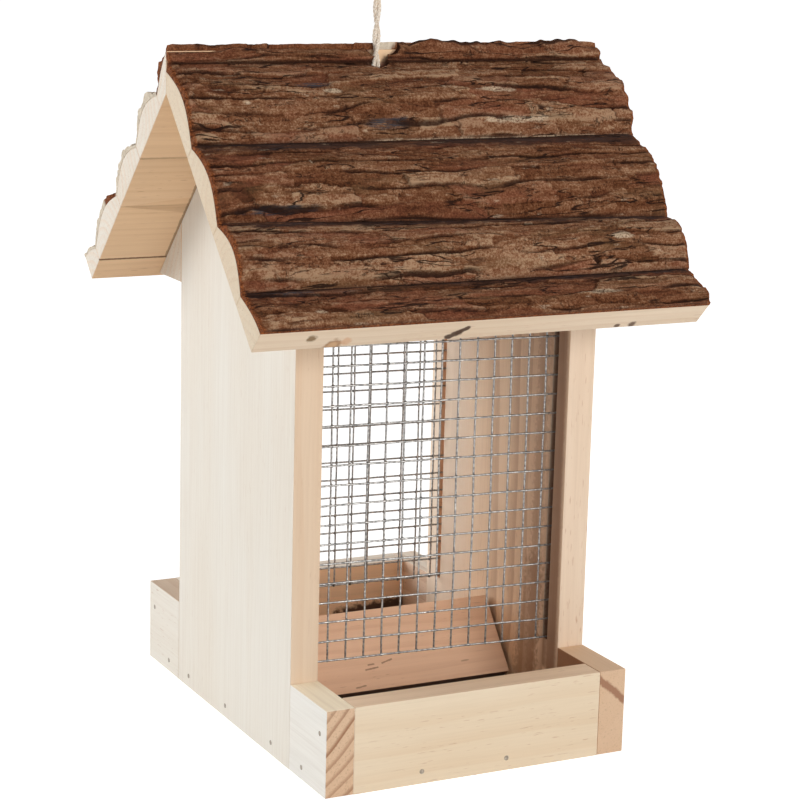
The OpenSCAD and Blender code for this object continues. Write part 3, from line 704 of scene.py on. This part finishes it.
def tubes(lines, radius, sides):
    """Points and faces of closed round tubes along lines of points."""
    verts, faces = [], []
    for line in lines:
        line = np.asarray(line, float)
        tangent = directions(line)
        ref = (0.0, 1.0, 0.0) if abs(tangent[0][1]) < 0.8 else (1.0, 0.0, 0.0)
        first = np.cross(tangent[0], ref)
        frames = [first / np.linalg.norm(first)]
        for t in tangent[1:]:
            f = frames[-1] - t * (frames[-1] @ t)
            frames.append(f / np.linalg.norm(f))
        across = np.array(frames)
        over = np.cross(tangent, across)
        start = len(verts)
        for i, c in enumerate(line):
            for j in range(sides):
                a = 2 * math.pi * j / sides
                verts.append(c + radius * (across[i] * math.cos(a) + over[i] * math.sin(a)))
        for i in range(len(line) - 1):
            for j in range(sides):
                a, b = start + i * sides + j, start + i * sides + (j + 1) % sides
                faces.append((a, b, b + sides, a + sides))
        faces.append(tuple(start + j for j in reversed(range(sides))))
        faces.append(tuple(start + (len(line) - 1) * sides + j for j in range(sides)))
    return verts, faces


# How far the nets sit to the left, above their place and askew, half the length of a level wire, and the
# rings of a nugget of weld as shares of its half height and radius
NET_SHIFT, NET_RISE, NET_TILT = -1.2, 1.0, 0.021
NET_HALF_SPAN = 46.1
NUGGET = [(-1.0, 0.3), (-0.45, 0.9), (0.45, 0.9), (1.0, 0.3)]


def net_piece(edge):
    """Welded net: slightly uneven drawn wires, with a nugget of weld at each crossing."""
    lap = (WIRE_D - WIRE_D / 6) / 2

    def bent(x, z, off):
        x, z = np.broadcast_arrays(np.asarray(x, float), np.asarray(z, float))
        dx = 0.22 * perlin(x / 9 + 0.3, z / 21, 810 + edge)
        dz = 0.22 * perlin(x / 21, z / 9 + 0.7, 820 + edge)
        dy = 0.4 * perlin(x / 40, z / 40, 830 + edge)
        tilt = NET_RISE - NET_TILT * x
        return np.stack([x + dx, edge * (NET_Y + off) + dy, z + dz + tilt], axis=-1)

    half = (NET_COLS - 1) / 2
    xs = [(i - half) * NET_PITCH + NET_SHIFT for i in range(NET_COLS)]
    zs = [NET_Z + j * NET_PITCH for j in range(NET_ROWS)]
    top = zs[-1] + NET_PITCH / 3
    lines = [bent(x, np.linspace(NET_Z - 0.2, top, 88), -lap) for x in xs]
    lines += [bent(np.linspace(-NET_HALF_SPAN, NET_HALF_SPAN, 60), z, lap) for z in zs]
    verts, faces = tubes(lines, WIRE_D / 2, 8)
    for x in xs:
        for z in zs:
            c = bent(x, z, 0.0)
            start = len(verts)
            size = 0.3 + 0.08 * float(lattice(np.array([x * 7]), np.array([z * 3]), 5)[0])
            for height, width in NUGGET:
                for j in range(8):
                    a = 2 * math.pi * j / 8
                    across, up = (f(a) * width * 0.62 for f in (math.cos, math.sin))
                    verts.append(c + np.array([across, height * size * 0.9, up]))
            for ring in range(3):
                for j in range(8):
                    a, b = start + ring * 8 + j, start + ring * 8 + (j + 1) % 8
                    faces.append((a, a + 8, b + 8, b))
            faces.append(tuple(start + j for j in range(8)))
            faces.append(tuple(start + 24 + j for j in reversed(range(8))))
    side = "front" if edge < 0 else "rear"
    piece = add_mesh(f"net_{side}_welded", verts, faces, WIRE, "box")
    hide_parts(f"mesh_{side}")


for edge in (-1, 1):
    net_piece(edge)

# Step along the twine, length of a turn of its strands, and how tight the twisted pair is drawn
TWINE_STEP = 0.36
PLY_PITCH = 4.4
TIGHT = 0.72

# The twine's route, as in the part's source; the loop's points are taken from the hanger's place
LOOP = [
    (-13, 1, -11.5), (-2.8, 0.3, -5.5), (-1, 0, 1.5),
    (-1, 0, 9), (0, -0.75, 13.5), (1, 0, 18), (0, 0.75, 22.5), (-1, 0, 27), (0, -0.75, 32.5),
    (1, 0, 38.5), (0, 0.75, 45), (-1, 0, 51.5),
    (-1.1, 0, 60), (-1.6, 0, 69), (-2.3, 0, 77.5), (-1.7, 0, 82.8), (0, 0, 84.6),
    (1.7, 0, 82.8), (2.3, 0, 77.5), (1.6, 0, 69), (1.1, 0, 60),
    (1, 0, 51.5), (0, -0.75, 45), (-1, 0, 38.5), (0, 0.75, 32.5), (1, 0, 27), (0, -0.75, 22.5),
    (-1, 0, 18), (0, 0.75, 13.5), (1, 0, 9),
    (1, 0, 1.5), (2.8, 0.3, -5.5), (13, 1, -11),
]


def twine_route(tight):
    """The twine's points; tight draws the two twisted strands together."""
    points = [(-55, 0, TWINE_Z), (-48.25, 0, TWINE_Z), (-36, 0, 191.3)]
    for a, b, c in LOOP:
        k = tight if 0 < c < 55 else 1.0
        points.append((HANGER[0] + k * a, HANGER[1] + k * b, APEX_Z + c))
    return points + [(33, 0, 191.8), (48.25, 0, TWINE_Z), (55, 0, TWINE_Z)]


def flowing(points, step):
    """Points every step along the smooth curve through the given ones, and the curve's length."""
    p = np.asarray(points, float)
    p = np.concatenate([[2 * p[0] - p[1]], p, [2 * p[-1] - p[-2]]])
    out = []
    for i in range(1, len(p) - 2):
        t = np.linspace(0, 1, 24, endpoint=False)[:, None]
        a, b, c, d = p[i - 1], p[i], p[i + 1], p[i + 2]
        square = 2 * a - 5 * b + 4 * c - d
        cube = 3 * b - a - 3 * c + d
        out.append(0.5 * (2 * b + (c - a) * t + square * t ** 2 + cube * t ** 3))
    line = np.concatenate(out + [p[-2:-1]])
    run = distances(line)
    at = np.linspace(0, run[-1], int(run[-1] / step) + 1)
    return np.stack([np.interp(at, run, line[:, k]) for k in range(3)], axis=1), run[-1]


def plied(line, spread):
    """Three strands that wind round a line."""
    tangent = directions(line)
    across = np.cross(tangent, [0.0, 1.0, 0.0])
    across /= np.linalg.norm(across, axis=1)[:, None]
    over = np.cross(tangent, across)
    run = distances(line)
    strands = []
    for k in range(3):
        a = 2 * math.pi * (run / PLY_PITCH + k / 3)
        strands.append(line + spread * (across * np.cos(a)[:, None] + over * np.sin(a)[:, None]))
    return strands


def fuzz(line, count, seed, reach):
    """Short loose fibres that stand off a line."""
    rng = np.random.RandomState(seed)
    tangent = directions(line)
    hairs = []
    for _ in range(count):
        i = rng.randint(4, len(line) - 4)
        out = rng.normal(size=3)
        out -= tangent[i] * (out @ tangent[i])
        out /= np.linalg.norm(out)
        lean = tangent[i] * rng.uniform(-1.6, 1.6)
        far = rng.uniform(0.5, 1.0) * (reach if line[i][2] < APEX_Z + 45 else 0.75 * reach)
        bend = rng.normal(size=3) * 0.15
        middle = line[i] + out * (0.45 + 0.5 * (far - 0.45)) + lean * 0.4 + bend * 0.4
        hairs.append([line[i] + out * 0.45, middle, line[i] + out * far + lean * 0.9])
    return hairs


def twine_piece():
    """Three-ply jute with loose fibres, from knot to knot through the hanging loop."""
    route, length = flowing(twine_route(1.0), TWINE_STEP)
    line, _ = flowing(twine_route(TIGHT), TWINE_STEP)
    strands = plied(line, 0.34)
    verts, faces = tubes(strands, 0.38, 8)
    hairs = fuzz(line, 640, 9, 1.2)
    hv, hf = tubes(hairs, 0.028, 3)
    start = len(verts)
    verts += hv
    faces += [tuple(i + start for i in f) for f in hf]
    piece = add_mesh("hanger_twine_jute", verts, faces, JUTE, "box")
    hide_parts("hanger_twine")
    return piece, route, length


def knot_piece(side):
    """Overhand knot with a short tail, drawn tight against the wall."""
    name = "left" if side < 0 else "right"
    t = np.linspace(0, 2 * math.pi, 120, endpoint=False)
    loop = np.stack([
        0.62 * np.sin(3 * t) + 1.9,
        0.62 * (np.sin(t) + 2 * np.sin(2 * t)),
        0.62 * (np.cos(t) - 2 * np.cos(2 * t)),
    ], axis=1)
    loop = np.concatenate([loop, loop[:1]])
    tail, _ = flowing([(2.1, 1.0, 0.3), (2.6, 1.4, -0.6), (3.0, 1.5, -1.9), (3.1, 1.3, -3.0)], 0.3)
    lines = []
    for line in (loop, tail):
        line = line * [side, 1, 1] + [side * WALL_OUT, 0, TWINE_Z]
        lines += plied(line, 0.3)
    verts, faces = tubes(lines, 0.34, 7)
    piece = add_mesh(f"twine_knot_{name}_tied", verts, faces, JUTE, "box")
    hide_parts(f"twine_knot_{name}")
    return piece


twine, twine_line, twine_length = twine_piece()
knots = [knot_piece(-1), knot_piece(1)]


def roof_point(edge, x, s, n=0.0):
    """Point on a roof panel as plain numbers."""
    return tuple(float(c) for c in panel(edge, np.array(x), np.array(s), np.array(n)))


def eave_mark(x, n):
    """Point on the front eave's sawn face."""
    return roof_point(-1, x, SLOPE_LEN, n)


def spot(place, size, shade, strength):
    """Round mark for a pine material."""
    return (place, place, size, shade, strength, 1.1)


def stripe(x, y, low, size, shade, strength, rough_edge):
    """Upright mark on a wall, from a height up to its gable."""
    return ((x, y, low), (x, y, GABLE_TOP), size, shade, strength, rough_edge)


def grooves(x):
    """Saw kerfs of a wall's two grooves, of which the front one is painted shade."""
    return [stripe(x, -NET_Y, 20, 2.4, FRONT_GROOVE_SHADE, 0.92, 0.1), stripe(x, NET_Y, 20, 2.4, REAR_KERF, 0.85, 0.1)]


def seam(s, strength):
    """Dark line along a joint of the rear panel's underside."""
    return (roof_point(1, -80.0, s), roof_point(1, 80.0, s), 0.55, (112, 74, 46), strength, 0.9)


def painted_contact_shade(s_from, s_to):
    """Painted shade: a dark line where the left wall meets the rear panel's underside."""
    return (roof_point(1, -53.2, s_from), roof_point(1, -53.2, s_to), 0.6, (124, 88, 60), 0.6, 1.6)


def dash(a, b, size, strength):
    """Resin dash on the front seed board."""
    return (a, b, size, RESIN, strength, 1.4)


# Colours of the wood, of what lies on it, and of painted light and shade
# Painted light: the pale colour of outer faces that look towards the lamps.
PAINTED_LIGHT_FACE = (232, 227, 217)
INNER = (238, 201, 168)
# Painted shade in the front grooves.
FRONT_GROOVE_SHADE = (100, 55, 30)
REAR_KERF = (226, 180, 146)
SHADE = (58, 31, 16)
RESIN = (122, 76, 52)
DUST = (98, 54, 36)
KNOT_DARK = (92, 66, 46)
# Painted light: near-white colour for faces that look up on the rear tray pieces.
PAINTED_LIGHT_TOP = (252, 242, 228)
WALL = dict(light=(227, 206, 184), late=(206, 172, 140), contrast=0.45)
TRAY = dict(light=(226, 209, 184), late=(212, 182, 148), contrast=0.3)
SAP = dict(light=(230, 210, 186), late=(208, 176, 144), contrast=0.24, ends=(219, 202, 177))
SLOPE = dict(light=(244, 204, 173), late=(222, 174, 141), contrast=0.4)
UNDER = dict(light=(244, 209, 170), late=(222, 180, 138), contrast=0.26, ends=(227, 219, 206))

LOOKS = {
    # Its outer face is painted light; its front groove is painted shade.
    "left_wall": pine(
        "pine_left_wall", "z", (-160, -30), 7.0, pale=PAINTED_LIGHT_FACE, inside=(0, 1, INNER, 0), dashes=0.2,
        outside=0.5, marks=grooves(-GROOVE_X), **{**WALL, "light": (220, 198, 174)}),
    "right_wall": pine(
        # Its outer face is painted light.
        "pine_right_wall", "z", (90, 15), 5.0, pale=(232, 214, 193), outer=1,
        # The inner face is painted lighter than the outer one: painted light inside the box.
        inside=(0, -1, (255, 229, 200), 0), outside=0.12, inner_marks=[
            # Painted light towards the rear opening, then painted shade towards the front.
            stripe(WALL_IN, 52.0, 4, 44.0, (255, 238, 218), 0.8, 0.3),
            stripe(WALL_IN, -50.0, 4, 44.0, (150, 100, 66), 0.28, 0.3),
        ], marks=[
            # Painted shade on the inner face in front of the front groove.
            stripe(WALL_IN, -42.5, 20, 4.0, (150, 114, 90), 0.8, 0.3),
            ((WALL_IN, -30.0, 4), (WALL_IN, -32.5, GABLE_TOP), 4.5, (140, 98, 72), 0.32, 2.2),
            ((WALL_IN, -24.0, 4), (WALL_IN, -30.0, 50), 8.0, (120, 82, 58), 0.4, 1.6),
        ] + grooves(GROOVE_X), **{**WALL, "late": (168, 124, 94), "contrast": 0.5}),
    "floor_panel": pine("pine_floor", "x", (20, -60), 5.0, marks=[
        # Both marks are painted shade over the floor in the two trays.
        ((-60, -50, 8), (60, -50, 8), 26, (74, 40, 19), 0.95, 1.1),
        ((-60, 50, 8), (60, 50, 8), 26, (60, 34, 18), 0.95, 1.1),
    ], **TRAY),
    # Its top is painted a brighter, warmer colour: painted light.
    "tray_front": pine("pine_tray_front", "x", (-30, 44), 5.0, dashes=0.45, top=(240, 212, 183), **TRAY),
    "tray_rear": pine(
        # Its inner face and top are painted light.
        "pine_tray_rear", "x", (40, 60), 5.0, inside=(1, -1, (255, 214, 176), 0), top=PAINTED_LIGHT_TOP, marks=[
            ((18, 65.5, 8), (45, 65.5, 10.5), 5.0, (58, 33, 20), 0.95, 1.1),
        ], **TRAY),
    "tray_end_front_left": pine(
        # Its left face and top are painted light.
        "pine_end_front_left", "y", (80, -118), 3.6, pale=(236, 233, 226), top=(255, 241, 214), wander=0.3,
        late_from=0.5, inside=(1, -1, PAINTED_LIGHT_FACE, 0), outside=0.14,
        **{**WALL, "late": (144, 98, 68), "contrast": 1.0}),
    "tray_end_front_right": pine(
        # Its top is painted darker: painted shade.
        "pine_end_front_right", "y", (80, -20), 9.0, inside=(0, -1, (176, 128, 94), 0), top=(225, 191, 157),
        marks=[
            ((43.5, -74, 25.5), (53.5, -74, 17.0), 1.5, (150, 106, 80), 0.9, 1.1),
        ], **{**WALL, "contrast": 0.3}),
    "tray_end_rear_left": pine(
        # Its left face is painted light.
        "pine_end_rear_left", "y", (60, -20), 4.6, pale=PAINTED_LIGHT_FACE, **{**WALL, "contrast": 0.3}),
    "tray_end_rear_right": pine(
        # Its inner face and top are painted light.
        "pine_end_rear_right", "y", (50, 10), 4.6, inside=(0, -1, (252, 226, 204), 0), top=PAINTED_LIGHT_TOP,
        **WALL),
    # On both seed boards the faces that look down are painted shade.
    "seed_slope_front": pine(
        "pine_slope_front", "x", (30, 90), 4.0, inside=(2, -1, SHADE, 0.95), marks=[
            dash((-10.2, -13.7, 16.8), (-5.7, -13.4, 17.1), 0.36, 0.6),
            dash((-9.0, -12.6, 18.0), (-6.8, -12.6, 18.1), 0.36, 0.6),
            dash((-3.8, -12.6, 18.1), (-0.1, -12.0, 18.8), 0.36, 0.6),
            dash((-15.3, -17.4, 12.3), (-11.8, -17.1, 12.6), 0.34, 0.55),
            dash((25.5, -14.6, 15.7), (28.0, -14.5, 15.8), 0.34, 0.4),
        ], **SLOPE),
    "seed_slope_rear": pine("pine_slope_rear", "x", (-30, 80), 4.0, inside=(2, -1, SHADE, 0.95), **SLOPE),
    "eave_rail_front": pine("pine_rail_front", "x", (-90, 160), 3.5, **SAP),
    "eave_rail_rear": pine("pine_rail_rear", "x", (90, 160), 3.5, **UNDER),
    "front_slab_4": pine("pine_eave_front", "x", (-60, 120), 3.2, marks=[
        spot(eave_mark(-59.5, 5.2), 2.0, (126, 100, 68), 0.9),
        spot(eave_mark(-51.3, 1.2), 3.4, (158, 114, 76), 0.85),
        spot(eave_mark(-51.3, 1.2), 1.9, (208, 170, 132), 0.85),
        spot(eave_mark(-47.5, 2.6), 2.3, (212, 162, 122), 0.6),
        (eave_mark(-12.8, 1.3), eave_mark(-10.3, 3.2), 1.8, (66, 44, 30), 0.95, 1.1),
        (eave_mark(-10.3, 3.2), eave_mark(-8.2, 5.3), 1.35, (72, 48, 33), 0.95, 1.1),
        spot(eave_mark(46.6, 1.0), 1.3, KNOT_DARK, 0.95),
        spot(eave_mark(52.0, 1.2), 1.7, KNOT_DARK, 0.95),
    ], **SAP),
}
for i in range(1, 4):
    LOOKS[f"front_slab_{i}"] = pine(
        f"pine_front_slab_{i}", "x", (-20 * i, 240 - 30 * i), 3.0,
        marks=[spot((NOTCH_X, -3.5, 212.5), 6.0, DUST, 0.9)] if i == 1 else [], **SAP)
REAR_MARKS = {
    1: [((-12, 0, 211), (-12, 0, 223), 7.0, DUST, 0.95, 0.7),
        ((-3, 0, 213), (3.5, 0, 218), 3.8, DUST, 0.95, 0.7),
        ((-12, 0, 211.5), (4, 0, 211.5), 4.6, DUST, 0.95, 0.7)],
    2: [seam(32, 0.32), painted_contact_shade(20, 34)],
    3: [seam(32, 0.32), seam(57, 0.1), painted_contact_shade(30, 59)],
    4: [seam(57, 0.1), seam(86, 0.9), painted_contact_shade(55, 90)],
    5: [seam(86, 0.9)],
}
for i in range(1, 6):
    LOOKS[f"rear_slab_{i}"] = pine(
        f"pine_rear_slab_{i}", "x", (10 + 12 * i, 245 - 24 * i), 3.0, marks=REAR_MARKS[i], **UNDER)
for name in LOOKS:
    weld = NODES[name].modifiers.new("weld", "WELD")
    weld.merge_threshold = WELD_GAP
    bevel = NODES[name].modifiers.new("eased edges", "BEVEL")
    bevel.width = EASE
    bevel.segments = 2
    bevel.limit_method = "ANGLE"
    bevel.angle_limit = math.radians(40)
for name in ("floor_brads", "tray_brads", "roof_brads"):
    LOOKS[name] = STEEL
for name, material in LOOKS.items():
    node = NODES[name]
    if not node.data.materials:
        node.data.materials.append(material)
    for slot in node.material_slots:
        slot.material = material


def white_floor():
    """Plain pale floor that stays white to the camera and keeps the object's shadow."""
    s = Shader("floor_white")
    s.tree.nodes.remove(s.bsdf)
    diffuse = s.node("ShaderNodeBsdfDiffuse", {"Color": (0.86, 0.86, 0.86, 1)}).outputs[0]
    rays = s.node("ShaderNodeLightPath").outputs
    seen = s.math("MAXIMUM", rays["Is Camera Ray"], rays["Is Glossy Ray"])
    shine = s.math("MULTIPLY", seen, 0.62)
    glow = s.node("ShaderNodeEmission", {"Color": (1, 1, 1, 1), "Strength": shine}).outputs[0]
    both = s.node("ShaderNodeAddShader", {0: diffuse, 1: glow}).outputs[0]
    s.put(s.tree.nodes["Material Output"].inputs["Surface"], both)
    mesh = bpy.data.meshes.new("floor")
    mesh.from_pydata([(-30, -30, 0), (30, -30, 0), (30, 30, 0), (-30, 30, 0)], [], [(0, 1, 2, 3)])
    mesh.materials.append(s.mat)
    floor = bpy.data.objects.new("floor", mesh)
    bpy.context.scene.collection.objects.link(floor)


def world_light(front, rear, top):
    """White surroundings with levels of light for front, rear and top; the camera sees plain white."""
    world = bpy.data.worlds.new("surroundings")
    world.use_nodes = True
    w = Nodes(world.node_tree)
    rays = w.node("ShaderNodeLightPath").outputs
    seen = rays["Is Camera Ray"]
    for kind in ("Is Glossy Ray", "Is Transmission Ray"):
        seen = w.math("MAXIMUM", seen, rays[kind])
    towards = w.node("ShaderNodeTexCoord").outputs["Generated"]
    _, deep, up = w.node("ShaderNodeSeparateXYZ", {0: towards}).outputs.values()
    side = w.node("ShaderNodeMapRange", {0: deep, 1: -0.7, 2: 0.7, 3: front, 4: rear}).outputs[0]
    light = w.node("ShaderNodeMapRange", {0: up, 1: 0.1, 2: 0.8, 3: side, 4: top}).outputs[0]
    level = w.node("ShaderNodeMapRange", {0: seen, 3: light, 4: 1.0}).outputs[0]
    back = w.tree.nodes["Background"]
    back.inputs[0].default_value = (1, 1, 1, 1)
    w.put(back.inputs[1], level)
    bpy.context.scene.world = world


def area_light(name, place, aim, size, power, colour=(1, 1, 1)):
    """Soft box lamp."""
    data = bpy.data.lights.new(name, "AREA")
    data.shape = "SQUARE"
    data.size = size
    data.energy = power
    data.color = colour
    lamp = bpy.data.objects.new(name, data)
    lamp.location = place
    lamp.rotation_euler = (Vector(aim) - Vector(place)).to_track_quat("-Z", "Y").to_euler()
    bpy.context.scene.collection.objects.link(lamp)


def camera(azimuth, elevation, roll, distance, lens, aim):
    """Camera at the photograph's viewing angle."""
    a, e, r = (math.radians(v) for v in (azimuth, elevation, roll))
    back = Vector((math.sin(a) * math.cos(e), -math.cos(a) * math.cos(e), math.sin(e)))
    right = Vector((math.cos(a), math.sin(a), 0))
    up = back.cross(right)
    right, up = math.cos(r) * right + math.sin(r) * up, math.cos(r) * up - math.sin(r) * right
    data = bpy.data.cameras.new("camera")
    data.sensor_width = 36
    data.lens = lens
    data.clip_start = 0.01
    data.clip_end = 100
    cam = bpy.data.objects.new("camera", data)
    turn = Matrix((right, up, back)).transposed().to_4x4()
    cam.matrix_world = Matrix.Translation(Vector(aim) + back * distance) @ turn
    bpy.context.scene.collection.objects.link(cam)
    bpy.context.scene.camera = cam


white_floor()
world_light(front=0.55, rear=1.1, top=0.4)
area_light("key", (-1.14, 0.82, 0.3), aim=(0, 0, 0.12), size=0.8, power=10.3)
area_light("fill", (0.3, -1.45, 0.55), aim=(0, 0, 0.1), size=0.8, power=12.5, colour=(1.0, 0.98, 0.95))
camera(azimuth=-27.051, elevation=12.184, roll=1.508, distance=0.78727, lens=106.335,
       aim=(0.006778, 0, 0.10467))
bpy.context.scene.view_settings.view_transform = "Standard"
